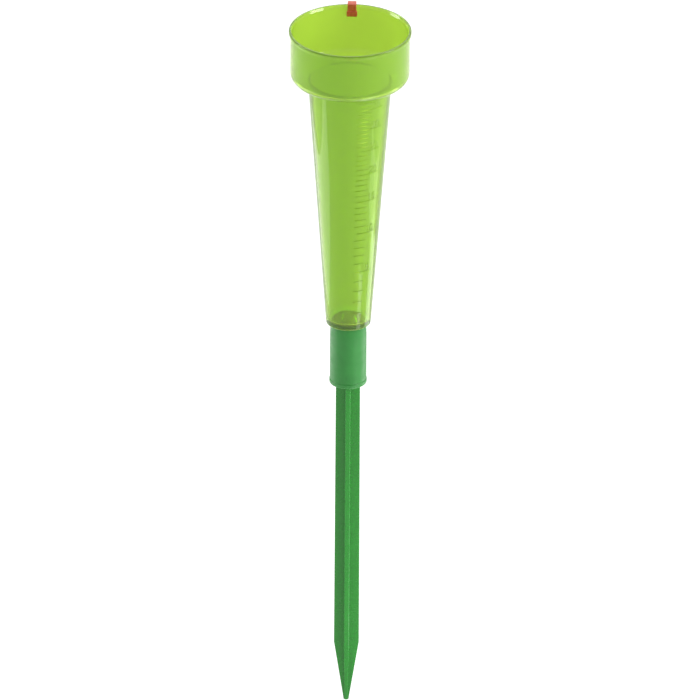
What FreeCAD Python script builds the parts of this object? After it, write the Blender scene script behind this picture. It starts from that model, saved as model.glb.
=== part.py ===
"""Manual rain gauge: a clear measuring beaker in a socket sleeve on a ground spike, with a clip on its rim.

Millimetres, +Z up, origin at the tip of the spike. The rim clip is at the rear, towards +Y, and the
rain scale is moulded on the front of the beaker, turned towards +X.
"""

import FreeCAD, Part
import math
import os

# Ground spike: two crossed fins that taper to a blunt tip
SPIKE_TOP = 212.0
TAPER_TOP = 36.3
FIN_SPAN_AT_TOP = 13.4
FIN_SPAN_AT_TAPER = 13.9
FIN_SPAN_AT_TIP = 1.6
FIN_THICKNESS = 2.6
FIN_EDGE_ROUND = 0.3

# Socket sleeve: holds the spike from below and the beaker's peg from above
SLEEVE_BOTTOM = 198.0
SLEEVE_TOP = 234.8
SLEEVE_RADIUS = 10.15
SLEEVE_TOP_RADIUS = 9.85
SLEEVE_SHOULDER_DROP = 6.5
SLEEVE_TOP_ROUND = 0.5
FLANGE_RADIUS = 10.4
FLANGE_HEIGHT = 2.4
FLANGE_ROUND = 0.8
WEB_THICKNESS = 3.0
SPIKE_GAP = 0.3

# Measuring beaker: collar, cone-shaped tube and bottom peg in one moulding
BEAKER_WALL = 1.4
BEAKER_FLOOR = 3.2
PEG_BOTTOM = 218.0
PEG_RADIUS = 8.6
PEG_CHAMFER = 0.8
TUBE_BOTTOM = 235.0
TUBE_BOTTOM_RADIUS = 12.4
TUBE_TOP = 383.6
TUBE_TOP_RADIUS = 23.25
COLLAR_BOTTOM = 385.2
COLLAR_RADIUS = 33.1
COLLAR_ROUND = 5.0
RIM_TOP = 414.4
RIM_RADIUS = 33.9
CATCH_RADIUS = 32.6
LIP_HEIGHT = 1.6
LIP_UNDERCUT = 0.8

# Rain scale: raised marks at each millimetre of rain
RAIN_MARKS = 38
MARKS_PER_NUMBER = 5
MARK_PROUD = 0.25
MARK_DEPTH = 0.35
MARK_HEIGHT = 0.5
SCALE_START_DEG = 10.0
MINOR_SWEEP_DEG = 22.0
MAJOR_SWEEP_DEG = 42.0

# Rim clip: hooks over the collar's rim
CLIP_WIDTH = 4.8
CLIP_FOOT_WIDTH = 5.8
CLIP_FOOT_HEIGHT = 3.2
CLIP_FOOT_PROUD = 0.4
CLIP_WALL = 1.1
CLIP_TOP = 415.6
CLIP_INNER_DROP = 7.4
CLIP_OUTER_DROP = 5.0
CLIP_ANGLE_DEG = -1.6

FIT_CLEARANCE = 0.05
CLIP_CLEARANCE = 0.1

ORIGIN = FreeCAD.Vector(0, 0, 0)
AXIS = FreeCAD.Vector(0, 0, 1)


def flat(r, z):
    """A point of an outline drawn in the XZ plane, at radius r and height z."""
    return FreeCAD.Vector(r, 0, z)


def rounded_wire(corners):
    """A closed wire through corners (r, z) or (r, z, radius), with a tangent arc at each radius."""
    points = [flat(corner[0], corner[1]) for corner in corners]
    radii = [corner[2] if len(corner) > 2 else 0.0 for corner in corners]
    starts = []
    ends = []
    arcs = []
    for i, point in enumerate(points):
        before = (points[i - 1] - point).normalize()
        after = (points[(i + 1) % len(points)] - point).normalize()
        half_angle = before.getAngle(after) / 2
        setback = radii[i] / math.tan(half_angle)
        start = point + before * setback
        end = point + after * setback
        starts.append(start)
        ends.append(end)
        if radii[i]:
            bisector = (before + after).normalize()
            nearest = point + bisector * (radii[i] / math.sin(half_angle) - radii[i])
            arcs.append(Part.Arc(start, nearest, end).toShape())
        else:
            arcs.append(None)
    edges = []
    for i, end in enumerate(ends):
        if arcs[i]:
            edges.append(arcs[i])
        edges.append(Part.LineSegment(end, starts[(i + 1) % len(starts)]).toShape())
    return Part.Wire(edges)


def turned(corners, degrees=360.0):
    """The solid that an outline of corners sweeps round the Z axis, through this angle."""
    return Part.Face(rounded_wire(corners)).revolve(ORIGIN, AXIS, degrees)


def cross_section_bar(span, thickness, bottom, top):
    """Two crossed rectangular bars round the Z axis."""
    height = top - bottom
    along_x = Part.makeBox(span, thickness, height, FreeCAD.Vector(-span / 2, -thickness / 2, bottom))
    along_y = Part.makeBox(thickness, span, height, FreeCAD.Vector(-thickness / 2, -span / 2, bottom))
    return along_x.fuse(along_y).removeSplitter()


def fin():
    """One flat fin across the spike, in the XZ plane, with its outer edges rounded."""
    outline = [
        flat(-FIN_SPAN_AT_TOP / 2, SPIKE_TOP),
        flat(-FIN_SPAN_AT_TAPER / 2, TAPER_TOP),
        flat(-FIN_SPAN_AT_TIP / 2, 0),
        flat(FIN_SPAN_AT_TIP / 2, 0),
        flat(FIN_SPAN_AT_TAPER / 2, TAPER_TOP),
        flat(FIN_SPAN_AT_TOP / 2, SPIKE_TOP),
    ]
    plate = Part.Face(Part.makePolygon(outline + outline[:1]))
    solid = plate.extrude(FreeCAD.Vector(0, FIN_THICKNESS, 0))
    solid.translate(FreeCAD.Vector(0, -FIN_THICKNESS / 2, 0))
    long_edges = [edge for edge in solid.Edges if edge.Length > TAPER_TOP]
    return solid.makeFillet(FIN_EDGE_ROUND, long_edges)


def ground_spike():
    """The cruciform spike, tip down."""
    along_x = fin()
    along_y = fin()
    along_y.rotate(ORIGIN, AXIS, 90)
    return along_x.fuse(along_y).removeSplitter()


def socket_sleeve():
    """The round sleeve, with a bore for the beaker's peg above its web and a cross-shaped socket below."""
    outside = turned([
        (0, SLEEVE_BOTTOM),
        (FLANGE_RADIUS, SLEEVE_BOTTOM, FLANGE_ROUND),
        (FLANGE_RADIUS, SLEEVE_BOTTOM + FLANGE_HEIGHT),
        (SLEEVE_RADIUS, SLEEVE_BOTTOM + FLANGE_HEIGHT + FLANGE_RADIUS - SLEEVE_RADIUS),
        (SLEEVE_RADIUS, SLEEVE_TOP - SLEEVE_SHOULDER_DROP),
        (SLEEVE_TOP_RADIUS, SLEEVE_TOP, SLEEVE_TOP_ROUND),
        (0, SLEEVE_TOP),
    ])
    web_bottom = SPIKE_TOP + SPIKE_GAP
    bore_bottom = web_bottom + WEB_THICKNESS
    bore_radius = PEG_RADIUS + FIT_CLEARANCE
    bore = Part.makeCylinder(bore_radius, SLEEVE_TOP - bore_bottom + 1, flat(0, bore_bottom), AXIS)
    span_at_mouth = FIN_SPAN_AT_TOP + (FIN_SPAN_AT_TAPER - FIN_SPAN_AT_TOP) * (
        (SPIKE_TOP - SLEEVE_BOTTOM) / (SPIKE_TOP - TAPER_TOP)
    )
    socket = cross_section_bar(
        span_at_mouth + 2 * FIT_CLEARANCE,
        FIN_THICKNESS + 2 * FIT_CLEARANCE,
        SLEEVE_BOTTOM - 1,
        web_bottom,
    )
    return outside.cut(bore).cut(socket)


def tube_radius(z):
    """The outer radius of the beaker's cone-shaped tube at height z."""
    along = (z - TUBE_BOTTOM) / (TUBE_TOP - TUBE_BOTTOM)
    return TUBE_BOTTOM_RADIUS + (TUBE_TOP_RADIUS - TUBE_BOTTOM_RADIUS) * along


def rain_height(millimetres):
    """The height of the water when this much rain has been caught, from the volume of the inner cone."""
    slope = (TUBE_TOP_RADIUS - TUBE_BOTTOM_RADIUS) / (TUBE_TOP - TUBE_BOTTOM)
    floor_z = TUBE_BOTTOM + BEAKER_FLOOR
    floor_radius = tube_radius(floor_z) - BEAKER_WALL
    surface_radius = (floor_radius**3 + 3 * slope * CATCH_RADIUS**2 * millimetres) ** (1 / 3)
    return floor_z + (surface_radius - floor_radius) / slope


def beaker_body():
    """The beaker without its scale."""
    floor_z = TUBE_BOTTOM + BEAKER_FLOOR
    inner_wall = COLLAR_RADIUS - BEAKER_WALL
    return turned([
        (0, PEG_BOTTOM),
        (PEG_RADIUS - PEG_CHAMFER, PEG_BOTTOM),
        (PEG_RADIUS, PEG_BOTTOM + PEG_CHAMFER),
        (PEG_RADIUS, TUBE_BOTTOM),
        (TUBE_BOTTOM_RADIUS, TUBE_BOTTOM, 1.0),
        (TUBE_TOP_RADIUS, TUBE_TOP, 0.6),
        (COLLAR_RADIUS, COLLAR_BOTTOM, COLLAR_ROUND),
        (COLLAR_RADIUS, RIM_TOP - LIP_HEIGHT - LIP_UNDERCUT),
        (RIM_RADIUS, RIM_TOP - LIP_HEIGHT, 0.3),
        (RIM_RADIUS, RIM_TOP, 0.6),
        (CATCH_RADIUS, RIM_TOP),
        (inner_wall, RIM_TOP - LIP_HEIGHT),
        (inner_wall, COLLAR_BOTTOM + BEAKER_WALL, COLLAR_ROUND - BEAKER_WALL),
        (TUBE_TOP_RADIUS - BEAKER_WALL, TUBE_TOP + BEAKER_WALL, 1.0),
        (tube_radius(floor_z) - BEAKER_WALL, floor_z, 1.5),
        (0, floor_z),
    ])


def rain_mark(z, sweep_degrees):
    """One raised mark of the scale, from the scale's start round towards +X."""
    low = z - MARK_HEIGHT / 2
    high = z + MARK_HEIGHT / 2
    bar = turned([
        (tube_radius(low) - MARK_DEPTH, low),
        (tube_radius(low) + MARK_PROUD, low),
        (tube_radius(high) + MARK_PROUD, high),
        (tube_radius(high) - MARK_DEPTH, high),
    ], sweep_degrees)
    bar.rotate(ORIGIN, AXIS, SCALE_START_DEG - 90)
    return bar


def measuring_beaker():
    """The clear beaker with a long mark at each numbered millimetre of rain and short marks between."""
    marks = []
    for millimetre in range(1, RAIN_MARKS + 1):
        numbered = millimetre % MARKS_PER_NUMBER == 0
        marks.append(rain_mark(rain_height(millimetre), MAJOR_SWEEP_DEG if numbered else MINOR_SWEEP_DEG))
    return beaker_body().multiFuse(marks)


def slab_across_rim(width):
    """A tall slab of this width that crosses the rear of the rim."""
    return Part.makeBox(width, 2 * RIM_RADIUS, 2 * CLIP_TOP, FreeCAD.Vector(-width / 2, 0, 0))


def rim_clip():
    """The clip: a hook over the rim, with a wider foot at the end of its inner leg."""
    inner_face = COLLAR_RADIUS - BEAKER_WALL - CLIP_CLEARANCE
    outer_face = RIM_RADIUS + CLIP_CLEARANCE
    web_bottom = RIM_TOP + CLIP_CLEARANCE
    inner_bottom = CLIP_TOP - CLIP_INNER_DROP
    hook = turned([
        (inner_face - CLIP_WALL, inner_bottom),
        (inner_face, inner_bottom),
        (inner_face, web_bottom),
        (outer_face, web_bottom),
        (outer_face, CLIP_TOP - CLIP_OUTER_DROP),
        (outer_face + CLIP_WALL, CLIP_TOP - CLIP_OUTER_DROP),
        (outer_face + CLIP_WALL, CLIP_TOP, 0.5),
        (inner_face - CLIP_WALL, CLIP_TOP, 0.5),
    ])
    foot = turned([
        (inner_face - CLIP_WALL - CLIP_FOOT_PROUD, inner_bottom, 0.3),
        (inner_face, inner_bottom),
        (inner_face, inner_bottom + CLIP_FOOT_HEIGHT),
        (inner_face - CLIP_WALL - CLIP_FOOT_PROUD, inner_bottom + CLIP_FOOT_HEIGHT, 0.3),
    ])
    leg = hook.common(slab_across_rim(CLIP_WIDTH))
    clip = leg.fuse(foot.common(slab_across_rim(CLIP_FOOT_WIDTH))).removeSplitter()
    clip.rotate(ORIGIN, AXIS, CLIP_ANGLE_DEG)
    return clip


PIECES = {
    "ground_spike": ground_spike,
    "socket_sleeve": socket_sleeve,
    "measuring_beaker": measuring_beaker,
    "rim_clip": rim_clip,
}

os.makedirs("parts", exist_ok=True)
for name, make in PIECES.items():
    shape = make()
    shape.exportStep(f"parts/{name}.step")
    print(name, "valid", shape.isValid(), "solids", len(shape.Solids), "volume", round(shape.Volume, 1))
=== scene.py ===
"""Looks of the manual rain gauge: clear lime beaker, satin green sleeve, green spike and red rim clip.

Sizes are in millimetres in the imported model's frame, and each mesh is scaled to metres when it is made.
"""

import math

import bmesh
import bpy
from mathutils import Matrix, Quaternion, Vector


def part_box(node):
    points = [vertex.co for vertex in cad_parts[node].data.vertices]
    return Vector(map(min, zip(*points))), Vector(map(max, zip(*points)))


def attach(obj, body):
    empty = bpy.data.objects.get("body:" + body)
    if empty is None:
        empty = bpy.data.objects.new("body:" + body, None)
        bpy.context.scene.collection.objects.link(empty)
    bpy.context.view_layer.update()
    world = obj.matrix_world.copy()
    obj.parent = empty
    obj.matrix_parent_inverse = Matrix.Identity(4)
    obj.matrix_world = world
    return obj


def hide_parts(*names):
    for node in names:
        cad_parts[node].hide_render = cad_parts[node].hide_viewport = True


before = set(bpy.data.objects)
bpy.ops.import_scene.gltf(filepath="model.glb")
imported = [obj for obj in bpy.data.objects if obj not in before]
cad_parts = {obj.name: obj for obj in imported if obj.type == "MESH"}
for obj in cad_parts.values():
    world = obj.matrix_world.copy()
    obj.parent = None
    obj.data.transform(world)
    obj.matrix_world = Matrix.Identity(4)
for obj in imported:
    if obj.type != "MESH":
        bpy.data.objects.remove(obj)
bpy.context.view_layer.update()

MM = 0.001


def box_mm(node):
    """The lowest and highest corner of a node, in millimetres."""
    low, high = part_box(node)
    return Vector(low) / MM, Vector(high) / MM


beaker_low, beaker_high = box_mm("measuring_beaker")
sleeve_low, sleeve_high = box_mm("socket_sleeve")
spike_high = box_mm("ground_spike")[1]
clip_low, clip_high = box_mm("rim_clip")

# Beaker, from its box
RIM_TOP = beaker_high.z
RIM_RADIUS = 33.9
PEG_BOTTOM = beaker_low.z
PEG_RADIUS = 8.6
TUBE_BOTTOM = 235.0
TUBE_BOTTOM_RADIUS = 12.4
TUBE_TOP = 383.6
TUBE_TOP_RADIUS = 23.25
COLLAR_BOTTOM = 385.2
COLLAR_RADIUS = 33.1
COLLAR_ROUND = 5.0
CATCH_RADIUS = 32.6
WALL = 1.4
FLOOR = 3.2
THICK_MARGIN = 0.2
LIP_HEIGHT = 1.6
LIP_UNDERCUT = 0.8

# Rain scale
RAIN_MARKS = 38
MARKS_PER_NUMBER = 5
MARK_WIDTH = 0.5
MARK_PROUD = 0.24
MARK_SLOPE = 0.16
SCALE_START = math.radians(10)
MINOR_END = math.radians(32)
MAJOR_END = math.radians(52)
SCALE_MARGIN = math.radians(2)
NUMBER_CENTRE = math.radians(41)
DIGIT_HEIGHT = 3.6
DIGIT_WIDTH = 2.0
DIGIT_GAP = 0.9
DIGIT_STROKE = 0.46
DIGIT_LIFT = 0.75
FINE_STEP = 0.15
COARSE_COLUMNS = 110
FINE_COLUMNS = 150

SLEEVE_RADIUS = 10.15
FLANGE_RADIUS = 10.4
FLANGE_HEIGHT = 2.4
SLEEVE_TOP_RADIUS = 9.85
SLEEVE_SHOULDER_DROP = 6.5
SLEEVE_BORE = 8.65
WEB_TOP = 215.3

SPIKE_TAPER_TOP = 36.3
FIN_SPAN_AT_TOP = 13.4
FIN_SPAN_AT_TAPER = 13.9
FIN_SPAN_AT_TIP = 1.6
FIN_THICKNESS = 2.6
SPIKE_EDGE_ROUND = 1.2

# Rim clip
CLIP_WIDTH = 4.8
CLIP_FOOT_WIDTH = 5.8
CLIP_FOOT_HEIGHT = 3.2
CLIP_FOOT_PROUD = 0.4
CLIP_WALL = 1.1
CLIP_OUTER_DROP = 5.0
CLIP_ANGLE = math.radians(-1.6)
CLIP_CLEARANCE = 0.1
CLIP_EDGE_ROUND = 0.35


# Meshes

def arc_profile(corners, steps=6):
    """Points of an outline of corners (r, z) or (r, z, radius), with each radius drawn as a tangent arc."""
    points = []
    for i, corner in enumerate(corners):
        here = Vector(corner[:2])
        if len(corner) == 2:
            points.append(here)
            continue
        before = (Vector(corners[i - 1][:2]) - here).normalized()
        after = (Vector(corners[i + 1][:2]) - here).normalized()
        half = before.angle(after) / 2
        centre = here + (before + after).normalized() * (corner[2] / math.sin(half))
        start = here + before * (corner[2] / math.tan(half)) - centre
        turn = (math.pi - 2 * half) * (1 if start.cross(before) < 0 else -1)
        for step in range(steps + 1):
            angle = turn * step / steps
            c, s = math.cos(angle), math.sin(angle)
            points.append(centre + Vector((start.x * c - start.y * s, start.x * s + start.y * c)))
    return points


def even_columns(count):
    """Angles round the axis at an even pitch."""
    return [2 * math.pi * i / count for i in range(count)]


def link(name, bm, smooth_angle=math.radians(35)):
    """Makes an object of a bmesh drawn in millimetres, smooth except across edges sharper than this."""
    mesh = bpy.data.meshes.new(name)
    bmesh.ops.scale(bm, vec=(MM, MM, MM), verts=bm.verts)
    bmesh.ops.recalc_face_normals(bm, faces=bm.faces)
    for face in bm.faces:
        face.smooth = True
    for edge in bm.edges:
        if len(edge.link_faces) == 2:
            edge.smooth = edge.calc_face_angle() < smooth_angle
    bm.to_mesh(mesh)
    bm.free()
    piece = bpy.data.objects.new(name, mesh)
    bpy.context.collection.objects.link(piece)
    return piece


def soften(piece, radius):
    """Rounds a piece's sharp edges by this many millimetres."""
    bevel = piece.modifiers.new("soft edges", "BEVEL")
    bevel.width = radius * MM
    bevel.segments = 4
    bevel.limit_method = "ANGLE"
    bevel.harden_normals = True


def lathe(profile, columns, raised=None):
    """A closed bmesh turned round Z from profile points that start and end on the axis.

    Angle 0 faces -Y and grows towards +X. raised(angle, radius, z) gives how far a point stands proud.
    """
    bm = bmesh.new()
    rings = []
    for r, z in profile:
        if r < 1e-6:
            rings.append([bm.verts.new((0, 0, z))])
            continue
        ring = []
        for angle in columns:
            radius = r + (raised(angle, r, z) if raised else 0)
            ring.append(bm.verts.new((radius * math.sin(angle), -radius * math.cos(angle), z)))
        rings.append(ring)
    count = len(columns)
    for lower, upper in zip(rings, rings[1:]):
        for i in range(count):
            j = (i + 1) % count
            if len(lower) == 1:
                bm.faces.new((lower[0], upper[j], upper[i]))
            elif len(upper) == 1:
                bm.faces.new((lower[i], lower[j], upper[0]))
            else:
                bm.faces.new((lower[i], lower[j], upper[j], upper[i]))
    return bm


# The beaker and its scale

def tube_radius(z):
    """The outer radius of the cone-shaped tube at height z."""
    along = (z - TUBE_BOTTOM) / (TUBE_TOP - TUBE_BOTTOM)
    return TUBE_BOTTOM_RADIUS + (TUBE_TOP_RADIUS - TUBE_BOTTOM_RADIUS) * along


def rain_height(millimetres):
    """The height of the water when this much rain has been caught, from the volume of the inner cone."""
    slope = (TUBE_TOP_RADIUS - TUBE_BOTTOM_RADIUS) / (TUBE_TOP - TUBE_BOTTOM)
    floor_z = TUBE_BOTTOM + FLOOR
    floor_radius = tube_radius(floor_z) - WALL
    surface_radius = (floor_radius**3 + 3 * slope * CATCH_RADIUS**2 * millimetres) ** (1 / 3)
    return floor_z + (surface_radius - floor_radius) / slope


def arc_points(cx, cy, rx, ry, start, end, steps=12):
    """Points along part of an ellipse, with angles in degrees."""
    points = []
    for i in range(steps + 1):
        angle = math.radians(start + (end - start) * i / steps)
        points.append((cx + rx * math.cos(angle), cy + ry * math.sin(angle)))
    return points


# Strokes of each digit in a cell from -1 to 1 across and 0 to 2 up
DIGITS = {
    "0": [arc_points(0, 1, 1, 1, 0, 360, 24)],
    "1": [[(-0.45, 1.55), (0.15, 2), (0.15, 0)]],
    "2": [arc_points(0, 1.4, 0.9, 0.6, 170, -25) + [(-0.95, 0), (1, 0)]],
    "3": [arc_points(-0.05, 1.48, 0.85, 0.52, 150, -90), arc_points(-0.05, 0.5, 1, 0.5, 90, -150)],
    "5": [[(0.85, 2), (-0.7, 2), (-0.85, 1.1)] + arc_points(-0.1, 0.66, 1, 0.66, 135, -150)],
}


def distance_to_stroke(x, y, stroke):
    """How far (x, y) is from a line through these points."""
    best = math.inf
    for (ax, ay), (bx, by) in zip(stroke, stroke[1:]):
        dx, dy = bx - ax, by - ay
        along = ((x - ax) * dx + (y - ay) * dy) / (dx * dx + dy * dy)
        along = min(1, max(0, along))
        best = min(best, math.hypot(x - ax - along * dx, y - ay - along * dy))
    return best


def number_strokes(text):
    """The strokes of a number in millimetres, centred on its middle and standing on its baseline."""
    strokes = []
    pitch = DIGIT_WIDTH + DIGIT_GAP
    for place, digit in enumerate(text):
        middle = (place - (len(text) - 1) / 2) * pitch
        for stroke in DIGITS[digit]:
            strokes.append([(middle + x * DIGIT_WIDTH / 2, y * DIGIT_HEIGHT / 2) for x, y in stroke])
    return strokes


def ridge(distance, width):
    """Height of a raised line's cross-section, with a small slope on its sides."""
    inside = (width / 2 + MARK_SLOPE / 2 - distance) / MARK_SLOPE
    return MARK_PROUD * min(1, max(0, inside))


class RainScale:
    """The raised marks and numbers on the tube."""

    def __init__(self):
        self.marks = [(n, rain_height(n)) for n in range(1, RAIN_MARKS + 1)]
        self.numbers = [(z, number_strokes(str(n))) for n, z in self.marks if n % MARKS_PER_NUMBER == 0]

    def height(self, angle, radius, z):
        """How far the tube's face stands proud at this angle and height."""
        if not SCALE_START - SCALE_MARGIN < angle < MAJOR_END + SCALE_MARGIN:
            return 0
        best = 0
        for n, mark_z in self.marks:
            if abs(z - mark_z) > MARK_WIDTH:
                continue
            end = MAJOR_END if n % MARKS_PER_NUMBER == 0 else MINOR_END
            beyond = max(SCALE_START - angle, angle - end, 0) * radius
            best = max(best, ridge(math.hypot(beyond, z - mark_z), MARK_WIDTH))
        for mark_z, strokes in self.numbers:
            y = z - mark_z - DIGIT_LIFT
            if -DIGIT_STROKE < y < DIGIT_HEIGHT + DIGIT_STROKE:
                x = (angle - NUMBER_CENTRE) * radius
                nearest = min(distance_to_stroke(x, y, stroke) for stroke in strokes)
                best = max(best, ridge(nearest, DIGIT_STROKE))
        return best

    def ring_heights(self):
        """Heights where the tube needs a ring of points to carry the scale."""
        heights = set()
        for n, z in self.marks:
            for offset in (-0.5, 0.5):
                for share in (1, -1):
                    heights.add(round(z + offset * (MARK_WIDTH + share * MARK_SLOPE), 3))
        for z, strokes in self.numbers:
            top = DIGIT_LIFT + DIGIT_HEIGHT + DIGIT_STROKE
            steps = math.ceil(top / FINE_STEP)
            heights.update(round(z + top * i / steps, 3) for i in range(1, steps + 1))
        kept = []
        for z in sorted(heights):
            if not kept or z - kept[-1] > FINE_STEP / 4:
                kept.append(z)
        return kept


def scale_columns():
    """Angles round the tube: fine across the scale and coarse elsewhere."""
    first = SCALE_START - SCALE_MARGIN
    last = MAJOR_END + SCALE_MARGIN
    fine = [first + (last - first) * i / FINE_COLUMNS for i in range(FINE_COLUMNS + 1)]
    rest = first + 2 * math.pi - last
    coarse = [last + rest * i / COARSE_COLUMNS for i in range(1, COARSE_COLUMNS)]
    return fine + coarse


def beaker():
    """The collar, cone-shaped tube and peg as one clear moulding, with the scale raised on the tube."""
    scale = RainScale()
    floor_z = TUBE_BOTTOM + FLOOR
    inner_wall = COLLAR_RADIUS - WALL
    below = arc_profile([
        (0, PEG_BOTTOM),
        (PEG_RADIUS, PEG_BOTTOM, 0.8),
        (PEG_RADIUS, TUBE_BOTTOM, 0.3),
        (TUBE_BOTTOM_RADIUS, TUBE_BOTTOM, 1.0),
        (TUBE_TOP_RADIUS, TUBE_TOP),
    ])[:-1]
    scaled = [Vector((tube_radius(z), z)) for z in [floor_z] + scale.ring_heights()]
    above = arc_profile([
        (TUBE_BOTTOM_RADIUS, TUBE_BOTTOM),
        (TUBE_TOP_RADIUS, TUBE_TOP, 0.8),
        (COLLAR_RADIUS, COLLAR_BOTTOM, COLLAR_ROUND),
        (COLLAR_RADIUS, RIM_TOP - LIP_HEIGHT - LIP_UNDERCUT, 0.5),
        (RIM_RADIUS, RIM_TOP - LIP_HEIGHT, 0.4),
        (RIM_RADIUS, RIM_TOP, 0.6),
        (CATCH_RADIUS, RIM_TOP, 0.15),
        (inner_wall, RIM_TOP - LIP_HEIGHT, 0.5),
        (inner_wall, COLLAR_BOTTOM + WALL, COLLAR_ROUND - WALL),
        (TUBE_TOP_RADIUS - WALL, TUBE_TOP + WALL, 1.0),
        (tube_radius(floor_z) - WALL, floor_z, 1.5),
        (0, floor_z),
    ])[1:]
    bm = lathe(below + scaled + above, scale_columns(), scale.height)
    # Faces of the floor and peg take the second material, the clearer copy whose greener haze is painted
    # glow.
    for face in bm.faces:
        if face.calc_center_median().z < floor_z + THICK_MARGIN:
            face.material_index = 1
    return link("clear_beaker", bm)


def sleeve():
    """The socket sleeve, open at the top for the beaker's peg."""
    profile = arc_profile([
        (0, sleeve_low.z),
        (FLANGE_RADIUS, sleeve_low.z, 0.8),
        (FLANGE_RADIUS, sleeve_low.z + FLANGE_HEIGHT, 0.15),
        (SLEEVE_RADIUS, sleeve_low.z + FLANGE_HEIGHT + FLANGE_RADIUS - SLEEVE_RADIUS, 0.2),
        (SLEEVE_RADIUS, sleeve_high.z - SLEEVE_SHOULDER_DROP, 30.0),
        (SLEEVE_TOP_RADIUS, sleeve_high.z, 0.5),
        (SLEEVE_BORE, sleeve_high.z, 0.3),
        (SLEEVE_BORE, WEB_TOP, 0.5),
        (0, WEB_TOP),
    ])
    return link("satin_sleeve", lathe(profile, even_columns(96)))


def spike():
    """The cruciform spike with softened edges and a blunt tip."""
    half = FIN_THICKNESS / 2
    levels = []
    for z, span in (
        (0, FIN_SPAN_AT_TIP),
        (SPIKE_TAPER_TOP, FIN_SPAN_AT_TAPER),
        (spike_high.z, FIN_SPAN_AT_TOP),
    ):
        reach = max(span / 2, half + 0.05)
        levels.append((z, reach, min(half, span / 2)))
    bm = bmesh.new()
    rings = []
    for z, reach, thick in levels:
        corner = [(thick, -reach), (thick, -thick), (reach, -thick)]
        ring = []
        for quarter in range(4):
            c, s = math.cos(quarter * math.pi / 2), math.sin(quarter * math.pi / 2)
            for x, y in corner:
                ring.append(bm.verts.new((x * c - y * s, x * s + y * c, z)))
        rings.append(ring)
    count = len(rings[0])
    for lower, upper in zip(rings, rings[1:]):
        for i in range(count):
            j = (i + 1) % count
            bm.faces.new((lower[i], lower[j], upper[j], upper[i]))
    bm.faces.new(reversed(rings[0]))
    bm.faces.new(rings[-1])
    piece = link("cross_spike", bm, smooth_angle=math.pi)
    soften(piece, SPIKE_EDGE_ROUND)
    return piece


def slab(outline, width):
    """A closed bmesh of an outline of points (y, z), this wide across X."""
    bm = bmesh.new()
    left = [bm.verts.new((-width / 2, y, z)) for y, z in outline]
    right = [bm.verts.new((width / 2, y, z)) for y, z in outline]
    bm.faces.new(left)
    bm.faces.new(reversed(right))
    for i in range(len(outline)):
        j = (i + 1) % len(outline)
        bm.faces.new((left[i], right[i], right[j], left[j]))
    return bm


def clip():
    """The hook over the rear of the rim, with a wider foot at the end of its inner leg."""
    inner = COLLAR_RADIUS - WALL - CLIP_CLEARANCE
    outer = RIM_RADIUS + CLIP_CLEARANCE
    web = RIM_TOP + CLIP_CLEARANCE
    bottom = clip_low.z
    foot_top = bottom + CLIP_FOOT_HEIGHT
    edge = math.sqrt(inner**2 - (CLIP_FOOT_WIDTH / 2) ** 2)
    back = math.sqrt((outer + CLIP_WALL) ** 2 - (CLIP_WIDTH / 2) ** 2)
    bm = slab([
        (edge - CLIP_WALL, bottom),
        (edge, bottom),
        (edge, web),
        (outer, web),
        (outer, clip_high.z - CLIP_OUTER_DROP),
        (back, clip_high.z - CLIP_OUTER_DROP),
        (back, clip_high.z),
        (edge - CLIP_WALL, clip_high.z),
    ], CLIP_WIDTH)
    foot = slab([
        (edge - CLIP_WALL - CLIP_FOOT_PROUD, bottom),
        (edge, bottom),
        (edge, foot_top),
        (edge - CLIP_WALL - CLIP_FOOT_PROUD, foot_top),
    ], CLIP_FOOT_WIDTH)
    foot_mesh = bpy.data.meshes.new("foot")
    foot.to_mesh(foot_mesh)
    foot.free()
    bm.from_mesh(foot_mesh)
    bpy.data.meshes.remove(foot_mesh)
    bmesh.ops.rotate(bm, matrix=Matrix.Rotation(CLIP_ANGLE, 3, "Z"), verts=bm.verts)
    piece = link("hook_clip", bm, smooth_angle=math.pi)
    soften(piece, CLIP_EDGE_ROUND)
    return piece


# Materials

def new_material(name):
    """An empty node material and its Principled shader."""
    material = bpy.data.materials.new(name)
    material.use_nodes = True
    return material, material.node_tree.nodes["Principled BSDF"]


def noise(material, size, detail=3):
    """The strength, 0 to 1, of a noise whose blobs are this many millimetres across."""
    nodes, links = material.node_tree.nodes, material.node_tree.links
    place = nodes.new("ShaderNodeTexCoord")
    texture = nodes.new("ShaderNodeTexNoise")
    texture.inputs["Scale"].default_value = 1 / (size * MM)
    texture.inputs["Detail"].default_value = detail
    links.new(place.outputs["Object"], texture.inputs["Vector"])
    return texture.outputs["Fac"]


def vary_colour(material, shader, size, first, second):
    """Base colour that drifts between two colours."""
    nodes, links = material.node_tree.nodes, material.node_tree.links
    ramp = nodes.new("ShaderNodeValToRGB")
    ramp.color_ramp.elements[0].position = 0.35
    ramp.color_ramp.elements[0].color = (*first, 1)
    ramp.color_ramp.elements[1].position = 0.65
    ramp.color_ramp.elements[1].color = (*second, 1)
    links.new(noise(material, size), ramp.inputs["Fac"])
    links.new(ramp.outputs["Color"], shader.inputs["Base Color"])


def vary_roughness(material, shader, size, smoothest, roughest):
    """Roughness that drifts between two values."""
    nodes, links = material.node_tree.nodes, material.node_tree.links
    spread = nodes.new("ShaderNodeMapRange")
    spread.inputs["From Min"].default_value = 0.3
    spread.inputs["From Max"].default_value = 0.7
    spread.inputs["To Min"].default_value = smoothest
    spread.inputs["To Max"].default_value = roughest
    links.new(noise(material, size), spread.inputs["Value"])
    links.new(spread.outputs["Result"], shader.inputs["Roughness"])


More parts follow.
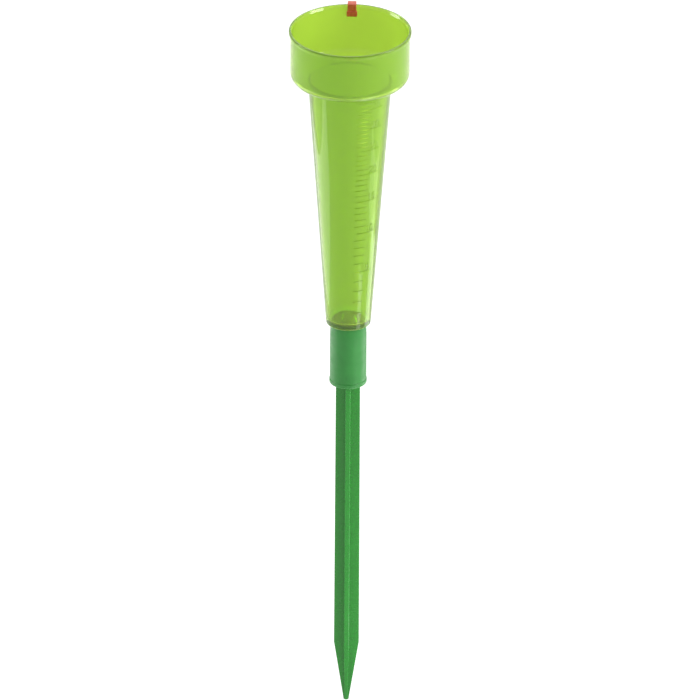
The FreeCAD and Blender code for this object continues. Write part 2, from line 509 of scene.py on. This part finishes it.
def add_bumps(material, shader, layers):
    """Bumps from layers of (size, height), both in millimetres."""
    nodes, links = material.node_tree.nodes, material.node_tree.links
    normal = None
    for size, height in layers:
        bump = nodes.new("ShaderNodeBump")
        bump.inputs["Distance"].default_value = height * MM
        links.new(noise(material, size), bump.inputs["Height"])
        if normal:
            links.new(normal, bump.inputs["Normal"])
        normal = bump.outputs["Normal"]
    links.new(normal, shader.inputs["Normal"])


def clear_lime():
    """Dyed clear plastic with a slight haze and the gentle waves of a moulding."""
    material, shader = new_material("clear_lime")
    shader.inputs["Base Color"].default_value = (0.495, 0.745, 0.07, 1)
    shader.inputs["Transmission Weight"].default_value = 0.75
    shader.inputs["IOR"].default_value = 1.43
    vary_roughness(material, shader, 9, 0.015, 0.045)
    add_bumps(material, shader, [(18, 0.03), (3, 0.001)])
    return material


def thick_lime():
    """The floor and peg, a clearer copy of the lime plastic whose greener haze is painted glow, standing in
    for light reflected inside the thick floor.
    """
    material, shader = new_material("thick_lime")
    shader.inputs["Base Color"].default_value = (0.38, 0.74, 0.06, 1)
    shader.inputs["Transmission Weight"].default_value = 0.84
    shader.inputs["IOR"].default_value = 1.43
    vary_roughness(material, shader, 5, 0.015, 0.045)
    add_bumps(material, shader, [(5, 0.01)])
    return material


def satin_green():
    """Moulded green plastic of the sleeve, with a fine satin grain."""
    material, shader = new_material("satin_green")
    vary_colour(material, shader, 7, (0.018, 0.235, 0.028), (0.022, 0.26, 0.032))
    vary_roughness(material, shader, 4, 0.34, 0.48)
    add_bumps(material, shader, [(6, 0.010), (0.5, 0.004)])
    return material


def gloss_green():
    """Tougher, glossier green plastic with faint flow marks and scuffs from the soil."""
    material, shader = new_material("gloss_green")
    vary_colour(material, shader, 11, (0.013, 0.28, 0.017), (0.016, 0.30, 0.020))
    shader.inputs["Specular IOR Level"].default_value = 0.46
    vary_roughness(material, shader, 3, 0.20, 0.30)
    add_bumps(material, shader, [(8, 0.012), (0.6, 0.002)])
    return material


def clip_red():
    """Red moulded plastic, a little mottled."""
    material, shader = new_material("clip_red")
    vary_colour(material, shader, 2, (0.62, 0.09, 0.045), (0.78, 0.14, 0.07))
    vary_roughness(material, shader, 1.5, 0.28, 0.42)
    add_bumps(material, shader, [(0.5, 0.01)])
    return material


# Stage, lights and camera

CAMERA_ELEVATION = math.radians(26.5)
CAMERA_LENS = 1400.0
CAMERA_SENSOR = 36.0
CAMERA_CLIP_END = 100.0
CAMERA_ROLL = math.radians(0.36)
FRAME_WIDTH = 0.38835
FLOOR_GLOW = 0.9
FLOOR_REACH = 20.0
ROOM_LIGHT = 0.2
ROOM_REFLECTION = 0.5
PANEL_LIFT = 0.002
LOOK_AT = Vector((0.001, 0, 0.2174))


def stage():
    """A pale, faintly glowing floor under the tip of the spike, and a white world.

    The world is white where it is seen, and dimmer where it lights or is mirrored by the gauge.
    """
    bm = bmesh.new()
    bmesh.ops.create_grid(bm, x_segments=1, y_segments=1, size=FLOOR_REACH)
    mesh = bpy.data.meshes.new("floor")
    bm.to_mesh(mesh)
    bm.free()
    floor = bpy.data.objects.new("floor", mesh)
    bpy.context.collection.objects.link(floor)
    material, shader = new_material("floor")
    shader.inputs["Base Color"].default_value = (0.35, 0.35, 0.35, 1)
    shader.inputs["Roughness"].default_value = 0.9
    shader.inputs["Specular IOR Level"].default_value = 0.0
    shader.inputs["Emission Color"].default_value = (1, 1, 1, 1)
    shader.inputs["Emission Strength"].default_value = FLOOR_GLOW
    floor.data.materials.append(material)

    world = bpy.data.worlds.new("white_room")
    world.use_nodes = True
    nodes, links = world.node_tree.nodes, world.node_tree.links
    path = nodes.new("ShaderNodeLightPath")
    strength = None
    for ray, dimmed in (("Is Diffuse Ray", ROOM_LIGHT), ("Is Glossy Ray", ROOM_REFLECTION)):
        step = nodes.new("ShaderNodeMath")
        step.operation = "MULTIPLY_ADD"
        step.inputs[1].default_value = dimmed - 1
        step.inputs[2].default_value = 1.0
        if strength:
            links.new(strength, step.inputs[2])
        links.new(path.outputs[ray], step.inputs[0])
        strength = step.outputs[0]
    links.new(strength, nodes["Background"].inputs["Strength"])
    nodes["Background"].inputs["Color"].default_value = (1, 1, 1, 1)
    bpy.context.scene.world = world


def area_light(name, width, height, watts):
    """A rectangular soft light that the camera doesn't see."""
    light = bpy.data.lights.new(name, "AREA")
    light.shape = "RECTANGLE"
    light.size = width
    light.size_y = height
    light.energy = watts
    lamp = bpy.data.objects.new(name, light)
    lamp.visible_camera = False
    lamp.rotation_mode = "QUATERNION"
    bpy.context.collection.objects.link(lamp)
    return lamp


def softbox(name, azimuth, elevation, distance, width, height, watts):
    """A soft light at this direction from the middle of the gauge, facing it."""
    lamp = area_light(name, width, height, watts)
    a, e = math.radians(azimuth), math.radians(elevation)
    outward = Vector((math.sin(a) * math.cos(e), -math.cos(a) * math.cos(e), math.sin(e)))
    lamp.location = LOOK_AT + outward * distance
    lamp.rotation_quaternion = outward.to_track_quat("Z", "Y")


def strip(name, azimuth, distance, width, height, watts):
    """A low strip of light that stands on the floor and faces the gauge."""
    lamp = area_light(name, width, height, watts)
    angle = math.radians(azimuth)
    outward = Vector((math.sin(angle), -math.cos(angle), 0))
    lamp.location = outward * distance + Vector((0, 0, height / 2))
    lamp.rotation_quaternion = outward.to_track_quat("Z", "Y")


def floor_panel(name, azimuth, distance, width, length, watts):
    """A soft light that lies on the floor and points up, for the sheen on the spike."""
    lamp = area_light(name, width, length, watts)
    angle = math.radians(azimuth)
    outward = Vector((math.sin(angle), -math.cos(angle), 0))
    lamp.location = outward * distance + Vector((0, 0, PANEL_LIFT))
    facing = Matrix((outward.cross(Vector((0, 0, 1))), outward, Vector((0, 0, -1)))).transposed()
    lamp.rotation_quaternion = facing.to_quaternion()


def camera():
    """A long lens that looks down on the gauge."""
    data = bpy.data.cameras.new("camera")
    data.lens = CAMERA_LENS
    data.sensor_width = CAMERA_SENSOR
    distance = FRAME_WIDTH * CAMERA_LENS / CAMERA_SENSOR
    data.clip_end = CAMERA_CLIP_END
    eye = bpy.data.objects.new("camera", data)
    back = Vector((0, -math.cos(CAMERA_ELEVATION), math.sin(CAMERA_ELEVATION)))
    eye.location = LOOK_AT + back * distance
    eye.rotation_mode = "QUATERNION"
    eye.rotation_quaternion = back.to_track_quat("Z", "Y") @ Quaternion((0, 0, 1), CAMERA_ROLL)
    bpy.context.collection.objects.link(eye)
    bpy.context.scene.camera = eye


camera()
stage()
softbox("key_softbox", 72, 30, 1.0, 0.42, 0.42, 6.2)
softbox("fill_softbox", -98, 30, 1.1, 0.42, 0.42, 4.6)
softbox("rear_softbox", 180, 60, 1.3, 1.4, 1.4, 9.0)
strip("left_strip", -107, 0.42, 0.6, 0.10, 0.3)
strip("right_strip", 92, 0.485, 0.34, 0.05, 0.06)
floor_panel("rib_panel", 54, 0.24, 0.12, 0.36, 1.0)
floor_panel("sleeve_panel", 112, 0.42, 0.24, 0.16, 0.9)
bpy.context.scene.view_settings.view_transform = "Standard"

pieces = (
    (beaker(), (clear_lime(), thick_lime()), "beaker", "measuring_beaker", "clear_lime"),
    (sleeve(), (satin_green(),), "sleeve", "socket_sleeve", "sleeve_green"),
    (spike(), (gloss_green(),), "spike", "ground_spike", "spike_green"),
    (clip(), (clip_red(),), "clip", "rim_clip", "clip_red"),
)
for piece, materials, body, node, slot in pieces:
    for material in materials:
        piece.data.materials.append(material)
    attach(piece, body)
    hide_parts(node)
